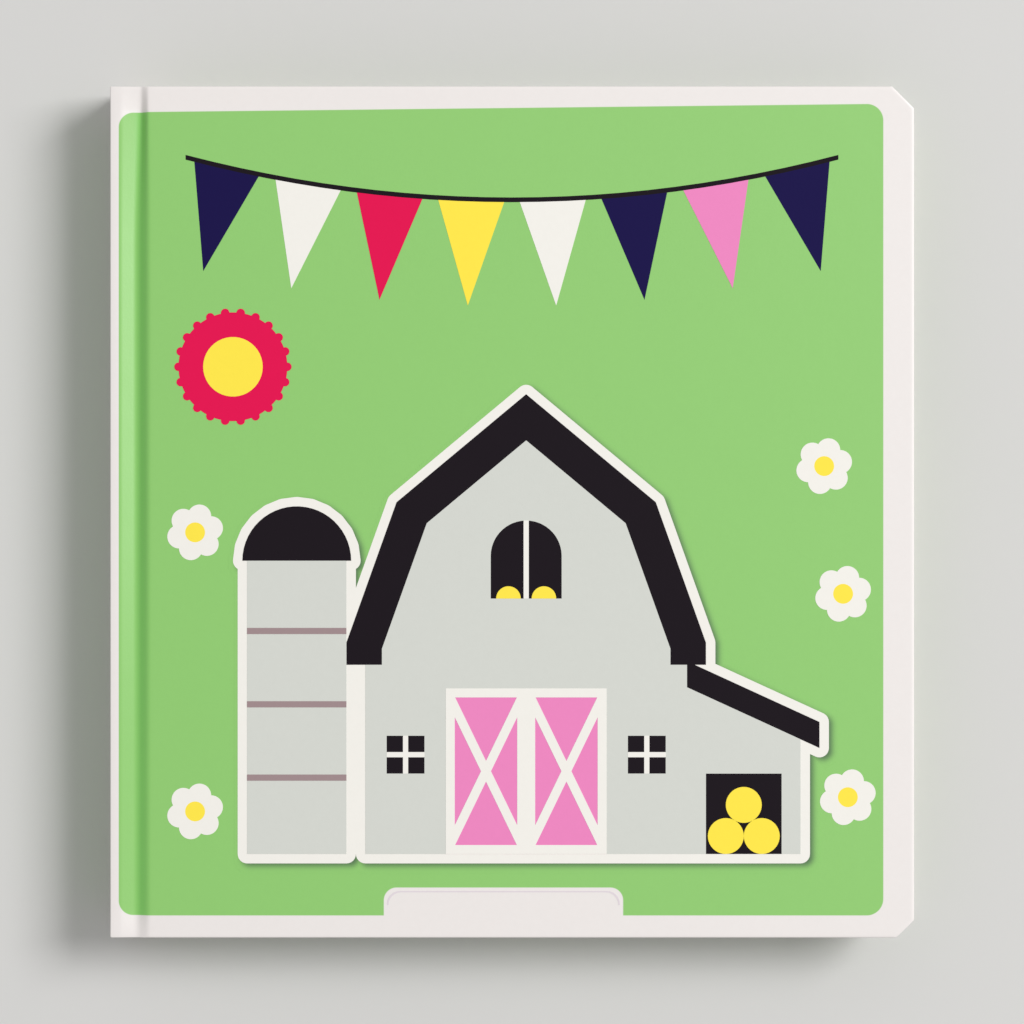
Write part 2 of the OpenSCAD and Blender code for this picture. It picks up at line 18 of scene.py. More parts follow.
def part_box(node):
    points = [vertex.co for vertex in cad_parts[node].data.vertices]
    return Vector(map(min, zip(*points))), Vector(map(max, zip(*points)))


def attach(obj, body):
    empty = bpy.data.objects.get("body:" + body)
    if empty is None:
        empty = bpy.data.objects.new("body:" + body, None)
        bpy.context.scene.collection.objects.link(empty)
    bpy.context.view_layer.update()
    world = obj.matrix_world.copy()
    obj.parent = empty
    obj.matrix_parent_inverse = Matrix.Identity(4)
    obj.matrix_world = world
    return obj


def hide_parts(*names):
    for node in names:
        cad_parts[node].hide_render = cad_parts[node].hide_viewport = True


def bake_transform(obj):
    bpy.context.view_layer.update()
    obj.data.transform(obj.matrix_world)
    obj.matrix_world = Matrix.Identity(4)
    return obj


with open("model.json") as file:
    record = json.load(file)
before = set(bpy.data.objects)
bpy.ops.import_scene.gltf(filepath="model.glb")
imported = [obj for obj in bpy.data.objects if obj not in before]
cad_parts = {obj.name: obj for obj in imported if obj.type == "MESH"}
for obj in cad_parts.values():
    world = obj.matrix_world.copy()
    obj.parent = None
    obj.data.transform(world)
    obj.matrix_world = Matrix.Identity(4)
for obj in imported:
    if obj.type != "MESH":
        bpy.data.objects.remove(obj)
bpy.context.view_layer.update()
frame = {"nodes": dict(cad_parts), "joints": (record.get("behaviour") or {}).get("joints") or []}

MM = 0.001


# Places read from the frame

GUTTER_INSET = 0.3
RISE_MARGIN = 0.1


def node_box(name):
    """Lowest and highest corner of a CAD node, in millimetres."""
    low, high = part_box(name)
    return np.array(low) / MM, np.array(high) / MM


COVER_LOW, COVER_HIGH = node_box("front_sheet")
SPINE_LOW, SPINE_HIGH = node_box("spine_sheet")
PASTED_LOW, PASTED_HIGH = node_box("front_pastedown")
TREE_LOW = node_box("popup_2_tree")[0]
CART_LOW, CART_HIGH = node_box("popup_3_cart")
BOOK_TOP = COVER_HIGH[2]
SPINE_X = SPINE_LOW[0]
FORE_X = COVER_HIGH[0]
HEAD_Y = COVER_HIGH[1]
BOARD_X = COVER_LOW[0]
GUTTER_X = SPINE_HIGH[0] - GUTTER_INSET
HINGE_X, _, HINGE_Z = (value / MM for value in frame["joints"][0]["pos_m"])
COVER_INSIDE_Z = COVER_LOW[2]
LEAF_TOP_Z = node_box("popup_1_barn")[0][2]
PASTED_Z = PASTED_LOW[2]
RISE_FROM_Z = LEAF_TOP_Z + RISE_MARGIN
RISE_TO_Z = PASTED_Z - RISE_MARGIN
PAGE_H = LEAF_TOP_Z - HINGE_Z
PASTED_H = HINGE_Z - PASTED_Z
LEAF_PITCH = TREE_LOW[2] - CART_LOW[2]
FIRST_PLY_Z = (TREE_LOW[2] + CART_HIGH[2]) / 2

# Case
SPINE_EDGE_R = 0.22
SPINE_EDGE_STEPS = 7
SEAM_ROW = 0.04
SPINE_ROWS = (0.65, 0.8)
SHOULDER_DROP = BOOK_TOP - SPINE_HIGH[2]
SHOULDER_DROP_END = 0.4
SHOULDER_W = 2.0
SHOULDER_EASE = 0.12
SHOULDER_STEPS = 10
GROOVE_X = 5.4
GROOVE_DEPTH = 1.4
GROOVE_DEPTH_TAIL = 1.1
GROOVE_DEPTH_END = 0.65
GROOVE_END_REACH = 6.0
TAIL_FADE_Y = 15.0
TAIL_FADE_REACH = 75.0
GROOVE_END_X = 8.65
GROOVE_PINCH = 0.9
GROOVE_END_PINCH = 0.35
GROOVE_PINCH_REACH = 34.0
BOARD_EASE = 0.35
BOARD_STEPS = 14
BOARD_LAP = 0.5
CUT_HEAD = 4.6
CUT_TAIL = 3.7
EDGE_R = 0.28
INNER_EDGE_R = 0.2
EDGE_SHARE = 0.4
INNER_EDGE_SHARE = 0.3
CREASE_X = 6.8
CREASE_W = 1.6
TURN_IN_SHOWN = 4.0
SPINE_LINING = 2.4
STRIP_LINING = 0.3

# Printed panel, as borders inside the cover's edges
BORDER_SPINE = 1.8
BORDER_FORE = 6.5
BORDER_TAIL = 4.7
BORDER_HEAD_SPINE = 5.5
BORDER_HEAD_FORE = 3.7
PANEL_R = 3.5
PANEL_SPINE_R = 3.1
TAB_W = 50.6
TAB_H = 5.9
TAB_R = 2.7
TAB_X = -1.8
SPINE_FIELD_W = 12.0
PRINT_SOFTNESS = 0.16
PRINT_T = 0.04
PANEL_TAIL_Y = BORDER_TAIL - HEAD_Y
PANEL_HEAD_Y = HEAD_Y - (BORDER_HEAD_SPINE + BORDER_HEAD_FORE) / 2
TAB_TOP_Y = PANEL_TAIL_Y + TAB_H

# Pop-ups, as places in the opened spread measured from the hinge's axis
CARD_T = 0.35
FIELD_T = 0.06
TENT_BASE = 10.0
BARN_HALF_W = 42.0
BARN_EAVE_H = 28.0
BARN_RIDGE_H = 52.0
SILO_S = 64.0
SILO_HALF_W = 9.0
SILO_H = 42.0
LAYER_U = 34.0
FENCE_RIDGE_H = 26.0
GUTTER_CARD_W = 7.0
GUTTER_CARD_T = 0.15
GUTTER_CARD_GAP = 0.02
GUTTER_CARD_INSET = 0.2
EAVES_REACH = 7
RIDGE_REACH = 1
RAFTER_W = 1.4
DOOR_HALF_W = 16
DOOR_H = 22
DOOR_RIM = 1.6
DOOR_LEAF_HALF_W = 6.6
WINDOW_X = 29
WINDOW_HALF_W = 5.4
WINDOW_H = (6.6, 17.4)
PANE_W = 3.9
CUPOLA_HALF_W = 8
CUPOLA_ROOF_HALF_W = 11
CUPOLA_EAVE = 8
CUPOLA_TOP = 16
LOUVRES = (1.5, 3.7, 5.9)
LOUVRE_HALF_W = 5.5
LOUVRE_H = 1.1
DOME_STEPS = 14
HOOPS = (8, 18, 28)
HOOP_H = 1.2
FENCE_SPOTS = range(-72, 73, 12)
HEDGE_SPOTS = range(-66, 67, 12)
RAIL_SHARES = (0.3, 0.65)
DAISY_R = 1.9
DAISY_EYE_R = 0.8
PICKET_HALF_W = 3
RIDGE_PICKET_HALF_W = 4.5
RIDGE_PICKETS = 7
RIDGE_PICKET_PITCH = 15
RIDGE_RAIL_HALF_W = 50
STRAP_HALF_W = 3
STRAP_X = 36
STRAP_H = 5.0
STEM_HALF_W = 0.9
PETAL_R = (5.4, 7.2)
SEEDS_R = 3.2
SUNFLOWERS = ((-58, 22), (-30, 28), (6, 20), (34, 26), (54, 19))

# Printed shadow round the sticker
SHADOW_SHIFT = (0.75, -0.6)
SHADOW_BLUR = 0.55
SHADOW_STEP = 0.4
SHADOW_STRENGTH = 0.95
SHADOW_REACH = 3.2 * SHADOW_BLUR + SHADOW_STEP
SHADOW_FAINTEST = 0.004

# Film over the cover's print: grain sizes are per millimetre, depths in millimetres
FILM_ROUGHNESS = 0.42
FILM_SPECULAR = 1.0
PEEL_SCALE = 2.2
PEEL_DEPTH = 0.012
WAVE_SCALE = 0.09
WAVE_SHARE = 4.0
INK_PATCH_SCALE = 0.7
INK_SPECKLE = 0.03

# Card. Each finish is its roughness, specular level and speckle
FIBRE_SCALE = 1.6
FIBRE_DEPTH = 0.02
CARD_PATCH_SCALE = 1.1
CARD_FINISH = (0.72, 0.3, 0.05)
BENT_CARD_FINISH = (0.72, 0.25, 0.05)
LEAF_FINISH = (0.7, 0.3, 0.04)
CARD_FACE_LEVEL = 0.3
LEAF_FACE_LEVEL = 0.5
EDGE_FIBRES = (0.25, 0.25, 7.0)
PLY_LINE = 0.08
PLY_SHARE = 0.55
GRAIN_SHARE = 0.3
MEADOW_SCALE = 0.022
MEADOW_LEVEL = 0.52
MEADOW_SHARPNESS = 40.0
DOT_SCALE = 0.07
DOT_R = 0.09
DOT_SHARPNESS = 30.0


def srgb(red, green, blue):
    """Linear colour from the 0 to 255 values of a screen colour."""
    def linear(value):
        share = value / 255
        return share / 12.92 if share <= 0.04045 else ((share + 0.055) / 1.055) ** 2.4
    return (linear(red), linear(green), linear(blue), 1.0)


PAPER_WHITE = srgb(238, 232, 229)
WHITE = srgb(243, 240, 233)
GREEN = srgb(139, 202, 103)
SHADOW_GREEN = srgb(58, 96, 58)
# Painted shade: a deeper green for the shade in the hinge groove.
GROOVE_SHADE_GREEN = srgb(126, 203, 93)
LINE_LILAC = srgb(226, 216, 221)
CARD = srgb(240, 237, 230)
GREY_BOARD = srgb(150, 145, 136)
PALE_GREY = srgb(212, 214, 207)
BLACK = srgb(27, 20, 27)
PINK = srgb(238, 134, 192)
CRIMSON = srgb(228, 12, 80)
YELLOW = srgb(255, 231, 72)
NAVY = srgb(24, 16, 72)
MAUVE = srgb(160, 138, 140)
MEADOW = srgb(160, 208, 118)
MEADOW_LIGHT = srgb(190, 224, 144)
HEDGE_GREEN = srgb(110, 178, 84)
SEED_BROWN = srgb(104, 66, 44)
PLY_GREY = srgb(170, 164, 152)
GRAIN_GREY = srgb(214, 208, 196)
FLOOR_GREY = srgb(214, 213, 211)


# Node materials

class Paint:
    """One node material. Inputs are sockets or plain values."""

    def __init__(self, name):
        self.material = bpy.data.materials.new(name)
        self.material.use_nodes = True
        self.tree = self.material.node_tree
        self.tree.nodes.clear()

    def node(self, kind, inputs=(), **settings):
        made = self.tree.nodes.new(kind)
        for key, value in settings.items():
            setattr(made, key, value)
        for key, value in dict(inputs).items():
            if isinstance(value, bpy.types.NodeSocket):
                self.tree.links.new(value, made.inputs[key])
            else:
                made.inputs[key].default_value = value
        return made

    def math(self, operation, *values, clamp=False):
        made = self.node("ShaderNodeMath", enumerate(values), operation=operation, use_clamp=clamp)
        return made.outputs[0]

    def above(self, value, level, sharpness):
        """Soft step: 0 where the value lies well under the level and 1 well over it."""
        over = self.math("SUBTRACT", value, level)
        return self.math("MULTIPLY_ADD", over, sharpness, 0.5, clamp=True)

    def mix(self, factor, first, second):
        made = self.node("ShaderNodeMix", {0: factor, 6: first, 7: second}, data_type="RGBA")
        return made.outputs[2]

    def noise(self, vector, scale, detail, roughness=0.5):
        made = self.node("ShaderNodeTexNoise", {"Vector": vector, "Scale": scale, "Detail": detail,
                                                "Roughness": roughness})
        return made.outputs["Fac"]

    def axes(self, vector):
        return self.node("ShaderNodeSeparateXYZ", {0: vector}).outputs

    def rest_mm(self):
        """Place on the piece before any joint moves, in millimetres, kept with the mesh."""
        return self.node("ShaderNodeAttribute", attribute_name=REST).outputs["Vector"]

    def object_mm(self):
        """Place on a rigid piece, in millimetres."""
        place = self.node("ShaderNodeTexCoord").outputs["Object"]
        return self.node("ShaderNodeVectorMath", {0: place, 3: 1 / MM}, operation="SCALE").outputs[0]

    def own_normal(self):
        """Direction that the surface faces, in the piece's own axes."""
        facing = self.node("ShaderNodeNewGeometry").outputs["True Normal"]
        turned = self.node("ShaderNodeVectorTransform", {0: facing}, vector_type="NORMAL",
                           convert_from="WORLD", convert_to="OBJECT")
        return turned.outputs[0]

    def on_face(self, level):
        """1 on the flat faces of a piece and 0 on its cut edges."""
        up = self.axes(self.own_normal())[2]
        return self.math("GREATER_THAN", self.math("ABSOLUTE", up), level)

    def value_of(self, name):
        return self.node("ShaderNodeAttribute", attribute_name=name).outputs["Fac"]

    def stretched(self, place):
        """Coordinates that run fast through the thickness, for the fibres on a cut edge."""
        made = self.node("ShaderNodeVectorMath", {0: place, 1: EDGE_FIBRES}, operation="MULTIPLY")
        return made.outputs[0]

    def speckle(self, color, place, scale, amount):
        """The colour, a little lighter and darker in small patches."""
        spread = self.math("SUBTRACT", self.noise(place, scale, 3.0), 0.5)
        level = self.math("MULTIPLY_ADD", spread, amount, 1.0)
        base = color[:3] if isinstance(color, tuple) else color
        made = self.node("ShaderNodeVectorMath", {0: base, 3: level}, operation="SCALE")
        return made.outputs[0]

    def finish(self, color, roughness, specular, height=None, depth=0.0):
        surface = {"Base Color": color, "Roughness": roughness, "Specular IOR Level": specular}
        if height is not None:
            bump = self.node("ShaderNodeBump", {"Height": height, "Distance": depth * MM,
                                                "Strength": 1.0})
            surface["Normal"] = bump.outputs[0]
        shader = self.node("ShaderNodeBsdfPrincipled", surface)
        self.node("ShaderNodeOutputMaterial", {"Surface": shader.outputs[0]})
        return self.material


REST = "rest_mm"
FADE = "shadow_fade"


def rounded_box_distance(paint, x, y, low, high, radius):
    """Distance outside a rounded rectangle, negative inside it."""
    middle = ((low[0] + high[0]) / 2, (low[1] + high[1]) / 2)
    half = ((high[0] - low[0]) / 2, (high[1] - low[1]) / 2)
    over = []
    for value, centre, reach in ((x, middle[0], half[0]), (y, middle[1], half[1])):
        away = paint.math("ABSOLUTE", paint.math("SUBTRACT", value, centre))
        over.append(paint.math("ADD", paint.math("SUBTRACT", away, reach), radius))
    outside = [paint.math("MAXIMUM", value, 0.0) for value in over]
    squares = [paint.math("MULTIPLY", value, value) for value in outside]
    corner = paint.math("SQRT", paint.math("ADD", *squares))
    inside = paint.math("MINIMUM", paint.math("MAXIMUM", *over), 0.0)
    return paint.math("SUBTRACT", paint.math("ADD", corner, inside), radius)


def printed_share(paint, distance):
    """1 inside the printed field and 0 outside it, with a slightly soft edge."""
    return paint.math("MULTIPLY_ADD", distance, -1 / PRINT_SOFTNESS, 0.5, clamp=True)


def panel_share(paint, x, y):
    """Share of green ink on a cover, whose panel has a slanting upper edge."""
    left, right = SPINE_X + BORDER_SPINE, FORE_X - BORDER_FORE
    slant = (BORDER_HEAD_SPINE - BORDER_HEAD_FORE) / (right - left)
    from_middle = paint.math("SUBTRACT", x, (left + right) / 2)
    across = paint.math("MULTIPLY", from_middle, slant / (PANEL_HEAD_Y - PANEL_TAIL_Y))
    raised = paint.math("MULTIPLY", across, paint.math("SUBTRACT", y, PANEL_TAIL_Y))
    straight_y = paint.math("SUBTRACT", y, raised)
    right_side = paint.math("GREATER_THAN", x, 0.0)
    radius = paint.math("MULTIPLY_ADD", right_side, PANEL_R - PANEL_SPINE_R, PANEL_SPINE_R)
    low, high = (left, PANEL_TAIL_Y), (right, PANEL_HEAD_Y)
    return printed_share(paint, rounded_box_distance(paint, x, straight_y, low, high, radius))


def spine_share(paint, x, y, z):
    """Share of green ink on the spine."""
    low = (PANEL_TAIL_Y, (BOOK_TOP - SPINE_FIELD_W) / 2)
    high = (PANEL_HEAD_Y, (BOOK_TOP + SPINE_FIELD_W) / 2)
    share = printed_share(paint, rounded_box_distance(paint, y, z, low, high, PANEL_SPINE_R))
    on_spine = paint.math("LESS_THAN", x, SPINE_X + BORDER_SPINE / 2)
    return paint.math("MULTIPLY", share, on_spine)


def tab_share(paint, x, y):
    """Share of the blank label tab at the tail of the front cover."""
    low = (TAB_X - TAB_W / 2, PANEL_TAIL_Y - 2 * TAB_R)
    high = (TAB_X + TAB_W / 2, PANEL_TAIL_Y + TAB_H)
    return printed_share(paint, rounded_box_distance(paint, x, y, low, high, TAB_R))


def green_share(paint, place, tab):
    """Share of green ink at a place on the case."""
    x, y, z = paint.axes(place)[:3]
    share = paint.math("MAXIMUM", panel_share(paint, x, y), spine_share(paint, x, y, z))
    if tab:
        off_tab = paint.math("SUBTRACT", 1.0, tab_share(paint, x, y))
        share = paint.math("MULTIPLY", share, off_tab)
    return share


def laminate(paint, color, place, specular=FILM_SPECULAR):
    """Satin film over print: a faint orange peel and the board's soft unevenness."""
    peel = paint.noise(place, PEEL_SCALE, 3.0, 0.6)
    waves = paint.noise(place, WAVE_SCALE, 2.0)
    height = paint.math("MULTIPLY_ADD", waves, WAVE_SHARE, peel)
    shown = paint.speckle(color, place, INK_PATCH_SCALE, INK_SPECKLE)
    return paint.finish(shown, FILM_ROUGHNESS, specular, height, PEEL_DEPTH)


def groove_shade_green(paint, place):
    """Green ink, with painted shade that makes it deeper along the hinge groove."""
    away = paint.math("ABSOLUTE", paint.math("SUBTRACT", paint.axes(place)[0], SPINE_X + CREASE_X))
    groove_shade_share = paint.math("MULTIPLY_ADD", away, -1 / CREASE_W, 1.2, clamp=True)
    return paint.mix(groove_shade_share, GREEN, GROOVE_SHADE_GREEN)


def case_material(name, tab):
    paint = Paint(name)
    place = paint.rest_mm()
    # The green ink carries painted shade along the hinge groove.
    color = paint.mix(green_share(paint, place, tab), PAPER_WHITE, groove_shade_green(paint, place))
    return laminate(paint, color, place)


def ink_material(name, color, specular):
    """Printed colour under the same film as the cover."""
    paint = Paint(name)
    place = paint.object_mm()
    return laminate(paint, color, place, specular)


def mauve_material(specular):
    """Mauve ink on the buildings, and the same ink as a faint tint in the thin line on the tab."""
    paint = Paint("print_mauve_ink")
    place = paint.object_mm()
    on_tab = paint.math("LESS_THAN", paint.axes(place)[1], TAB_TOP_Y)
    color = paint.mix(on_tab, MAUVE, LINE_LILAC)
    return laminate(paint, color, place, specular)


def shadow_material():
    """Green that darkens towards the sticker, as printed."""
    paint = Paint("printed_shadow")
    place = paint.object_mm()
    color = paint.mix(paint.value_of(FADE), GREEN, SHADOW_GREEN)
    return laminate(paint, color, place)


def matt_card(paint, color, place, finish):
    """Card without film, with its fibres."""
    roughness, specular, speckle = finish
    fibres = paint.noise(place, FIBRE_SCALE, 4.0, 0.65)
    shown = paint.speckle(color, place, CARD_PATCH_SCALE, speckle)
    return paint.finish(shown, roughness, specular, fibres, FIBRE_DEPTH)


def card_material(name, color, edge=CARD):
    """Matt card, printed on its faces, with its white core on the cut edges."""
    paint = Paint(name)
    color = paint.mix(paint.on_face(CARD_FACE_LEVEL), edge, color)
    return matt_card(paint, color, paint.object_mm(), CARD_FINISH)


def card_ink(name, color):
    """Matt printed card of a pop-up, patterned by its places at rest."""
    paint = Paint(name)
    return matt_card(paint, color, paint.rest_mm(), BENT_CARD_FINISH)


def meadow_color(paint, place):
    """Plain printed meadow of a spread, with paler patches of light and small white dots."""
    patches = paint.noise(place, MEADOW_SCALE, 2.0, 0.4)
    light = paint.above(patches, MEADOW_LEVEL, MEADOW_SHARPNESS)
    color = paint.mix(light, MEADOW, MEADOW_LIGHT)
    cells = paint.node("ShaderNodeTexVoronoi", {"Vector": place, "Scale": DOT_SCALE})
    dot = paint.above(DOT_R, cells.outputs["Distance"], DOT_SHARPNESS)
    return paint.mix(dot, color, WHITE)


def leaf_edge_color(paint, place):
    """Cut edge of a leaf: two plies of white card, with a grey line of glue between them."""
    from_first = paint.math("SUBTRACT", paint.axes(place)[2], FIRST_PLY_Z)
    from_ply = paint.math("PINGPONG", from_first, LEAF_PITCH / 2)
    ply = paint.math("MULTIPLY_ADD", from_ply, -1 / PLY_LINE, 1.0, clamp=True)
    grain = paint.noise(paint.stretched(place), 1.0, 3.0)
    edge = paint.mix(paint.math("MULTIPLY", ply, PLY_SHARE), CARD, PLY_GREY)
    return paint.mix(paint.math("MULTIPLY", grain, GRAIN_SHARE), edge, GRAIN_GREY)


def page_material(name, blended=False):
    """Printed card leaf: the spread's picture on its faces, two plies of white card on its edges."""
    paint = Paint(name)
    place = paint.rest_mm() if blended else paint.object_mm()
    color = meadow_color(paint, place)
    if not blended:
        edge = leaf_edge_color(paint, place)
        color = paint.mix(paint.on_face(LEAF_FACE_LEVEL), edge, color)
    return matt_card(paint, color, place, LEAF_FINISH)


# Meshes

def add_mesh(name, points, faces, material, smooth=True):
    """A piece from points in millimetres. It keeps its rest places as an attribute."""
    mesh = bpy.data.meshes.new(name)
    mesh.from_pydata([tuple(p * MM for p in point) for point in points], [], faces)
    mesh.update()
    rest = mesh.attributes.new(REST, "FLOAT_VECTOR", "POINT")
    rest.data.foreach_set("vector", np.array(points, np.float32).ravel())
    mesh.polygons.foreach_set("use_smooth", [smooth] * len(mesh.polygons))
    piece = bpy.data.objects.new(name, mesh)
    bpy.context.scene.collection.objects.link(piece)
    mesh.materials.append(material)
    return piece


def arc(centre, radius, start, end, steps):
    angles = np.radians(np.linspace(start, end, steps + 1))
    return [(centre[0] + radius * math.cos(a), centre[1] + radius * math.sin(a)) for a in angles]


def smoothstep(t):
    t = min(1.0, max(0.0, t))
    return t * t * (3 - 2 * t)


def case_section(y):
    """Outer and inner line of the case over the spine and the groove, as (x, z) pairs, at one y."""
    tail = smoothstep((TAIL_FADE_Y - y) / TAIL_FADE_REACH)
    turned_in = smoothstep(1 - (HEAD_Y - abs(y)) / GROOVE_END_REACH)
    top = BOOK_TOP - SHOULDER_DROP + (SHOULDER_DROP - SHOULDER_DROP_END) * turned_in
    depth = GROOVE_DEPTH + (GROOVE_DEPTH_TAIL - GROOVE_DEPTH) * tail
    depth += (GROOVE_DEPTH_END - depth) * turned_in
    floor = BOOK_TOP - depth
    pinch = 1 - smoothstep((HEAD_Y - y) / GROOVE_PINCH_REACH)
    bottom_x = GROOVE_X + GROOVE_PINCH * pinch
    end_x = GROOVE_END_X - GROOVE_END_PINCH * pinch
    outer = [(0, BOOK_TOP / 2), (0, BOOK_TOP / 2 + SEAM_ROW)]
    outer += [(0, BOOK_TOP * share) for share in SPINE_ROWS]
    outer += arc((SPINE_EDGE_R, top - SPINE_EDGE_R), SPINE_EDGE_R, 180, 90, SPINE_EDGE_STEPS)
    outer.append(((SPINE_EDGE_R + SHOULDER_W) / 2, top))
    outer += slope((SHOULDER_W, top), (bottom_x, floor), SHOULDER_EASE, SHOULDER_STEPS)
    outer += slope((bottom_x, floor), (end_x, BOOK_TOP), BOARD_EASE, BOARD_STEPS)[1:]
    return outer, lining(outer, top)


def lining(outer, top):
    """Inner line of the case under its outer line."""
    inner = []
    for x, z in outer:
        if x < SHOULDER_W:
            under = min(z, top - STRIP_LINING)
        elif x < BOARD_X - SPINE_X - BOARD_LAP:
            under = z - STRIP_LINING
        else:
            under = COVER_INSIDE_Z
        inner.append((max(x, SPINE_LINING), under))
    return inner


def slope(first, last, ease, steps):
    """Points of a slope between two levels, straight but for a share of its length at each end."""
    points = []
    for t in np.linspace(0, 1, steps + 1):
        if t < ease:
            rise = t * t / (2 * ease * (1 - ease))
        elif t <= 1 - ease:
            rise = (t - ease / 2) / (1 - ease)
        else:
            rise = 1 - (1 - t) ** 2 / (2 * ease * (1 - ease))
        points.append((first[0] + (last[0] - first[0]) * t, first[1] + (last[1] - first[1]) * rise))
    return points


def cover_cut(y):
    """Leg of the corner cut on this half of the cover."""
    return CUT_HEAD if y > 0 else CUT_TAIL


def fore_limit(y, inset):
    """Distance from the spine of the cover's edge, drawn in by inset, with its cut corners."""
    width = FORE_X - SPINE_X
    cut = width + HEAD_Y - cover_cut(y) - inset * math.sqrt(2) - abs(y)
    return min(width - inset, cut)


def corner_y(side, inset):
    """Distance from the middle at which the corner cut starts, on the head's or tail's side."""
    return HEAD_Y - cover_cut(side) - inset * (math.sqrt(2) - 1)


# Columns of the flat part of a cover, as shares of its width, closer together at both ends
FLAT_COLUMNS = [0.004, 0.02, *(0.08 * column for column in range(1, 13)), 0.996, 1.0]
FLAT_ROWS = 13
FIRST_ROW_Y = 6
ROW_BEFORE_CORNER = 3
ROW_BY_EDGE = 0.5


def cover_rows(inset):
    """y of each row of the cover's grid, drawn in by inset, with a row at each corner of the cut."""
    rows = [0.0]
    for side in (-1, 1):
        corner, last = corner_y(side, inset), HEAD_Y - inset
        half = list(np.linspace(FIRST_ROW_Y, corner - ROW_BEFORE_CORNER, FLAT_ROWS))
        half += [corner - ROW_BY_EDGE, corner, (last + corner) / 2, last - ROW_BY_EDGE, last]
        rows += [side * y for y in half]
    return sorted(rows)


def case_grid(inset, inner):
    """Rows of points of the case's outer or inner face, drawn in by inset from its edges."""
    grid = []
    rows = cover_rows(inset)
    for number, y in enumerate(rows):
        outer_line, inner_line = case_section(y)
        points = []
        for (x, z), (inner_x, inner_z) in zip(outer_line, inner_line):
            thick = math.hypot(inner_x - x, inner_z - z)
            own_y = y
            if number in (0, len(rows) - 1) and not inner:
                own_y = math.copysign(HEAD_Y - min(inset, EDGE_SHARE * thick), y)
            points.append((inner_x, own_y, inner_z) if inner else (x, own_y, z))
        start = points[-1][0]
        level = COVER_INSIDE_Z if inner else BOOK_TOP
        end = fore_limit(y, inset)
        points += [(start + (end - start) * share, y, level) for share in FLAT_COLUMNS]
        grid.append(points)
    return np.array(grid)


def rim_of(grid):
    """Row and column of each point on the grid's head, fore-edge and tail."""
    rows, columns = grid.shape[:2]
    head = [(rows - 1, column) for column in range(columns)]
    fore = [(row, columns - 1) for row in range(rows - 2, 0, -1)]
    tail = [(0, column) for column in range(columns - 1, -1, -1)]
    return head + fore + tail


def outward(grid, row, column):
    """Direction in plan in which the rim moves out, long enough to keep both its edges parallel."""
    rows, columns = grid.shape[:2]
    mitre = math.tan(math.radians(22.5))
    y = grid[row, column][1]
    side = 1.0 if y > 0 else -1.0
    if row in (0, rows - 1):
        return (mitre if column == columns - 1 else 0.0, side)
    corner = corner_y(side, EDGE_R)
    if abs(abs(y) - corner) < 1e-6:
        return (1.0, mitre * side)
    if abs(y) > corner:
        return (math.sqrt(0.5), math.sqrt(0.5) * side)
    return (1.0, 0.0)


def grid_faces(first, rows, columns, inner):
    """Faces of a grid whose points start at an index, turned round for the inner grid."""
    faces = []
    for row in range(rows - 1):
        for column in range(columns - 1):
            at = first + row * columns + column
            above, beside, across = at + columns, at + 1, at + columns + 1
            faces.append((at, above, across, beside) if inner else (at, beside, across, above))
    return faces


def rim_profile(thick):
    """Steps out and down round the sheet's edge, from its outer face to the turned-in one."""
    radius = min(EDGE_R, EDGE_SHARE * thick)
    small = min(INNER_EDGE_R, INNER_EDGE_SHARE * thick)
    steps = []
    for turn in np.radians((22.5, 45, 67.5, 90)):
        steps.append((radius * math.sin(turn), radius * (1 - math.cos(turn))))
    steps.append((radius, radius + (thick - small - radius) * 0.5))
    for turn in np.radians((0, 45, 90)):
        steps.append((radius - small * (1 - math.cos(turn)), thick - small * (1 - math.sin(turn))))
    return steps


def rim_points(outer, place, section):
    """Points of the edge's profile at one place on the rim."""
    x, y, z = outer[place]
    column = place[1]
    inner_line = section[1]
    inner_x, inner_z = inner_line[column] if column < len(inner_line) else (x, COVER_INSIDE_Z)
    thick = math.hypot(inner_x - x, inner_z - z)
    into = ((inner_x - x) / thick, (inner_z - z) / thick)
    away = outward(outer, *place)
    return [(x + away[0] * out + into[0] * deep, y + away[1] * out, z + into[1] * deep)
            for out, deep in rim_profile(thick)]


def case_half(name, material):
    """Half of the case: the sheet over one cover, its groove and half of the spine.

    It is one closed mesh, with its edges turned in.
    """
    outer = case_grid(EDGE_R, inner=False)
    inner = case_grid(EDGE_R + TURN_IN_SHOWN, inner=True)
    rows, columns = outer.shape[:2]
    points = [tuple(p) for p in outer.reshape(-1, 3)]
    rim = rim_of(outer)
    loops = [[row * columns + column for row, column in rim]]
    sections = [case_section(y) for y in cover_rows(EDGE_R)]
    profiles = [rim_points(outer, place, sections[place[0]]) for place in rim]
    for step in zip(*profiles):
        loops.append(list(range(len(points), len(points) + len(rim))))
        points += step
    base = len(points)
    points += [tuple(p) for p in inner.reshape(-1, 3)]
    loops.append([base + row * columns + column for row, column in rim])
    faces = grid_faces(0, rows, columns, inner=False) + grid_faces(base, rows, columns, inner=True)
    for first, second in zip(loops, loops[1:]):
        for i in range(len(first) - 1):
            faces.append((first[i], first[i + 1], second[i + 1], second[i]))
    seam_outer = [row * columns for row in range(rows)]
    seam_inner = [base + row * columns for row in range(rows)]
    head_side = [loop[0] for loop in loops[1:-1]]
    tail_side = [loop[-1] for loop in loops[1:-1]]
    faces.append(tuple(seam_outer + head_side + seam_inner[::-1] + tail_side[::-1]))
    points = [(x + SPINE_X, y, z) for x, y, z in points]
    return add_mesh(name, points, faces, material)


def face_outward(piece):
    """Turns all faces of a closed piece outward."""
    shape = bmesh.new()
    shape.from_mesh(piece.data)
    bmesh.ops.recalc_face_normals(shape, faces=shape.faces)
    shape.to_mesh(piece.data)
    shape.free()


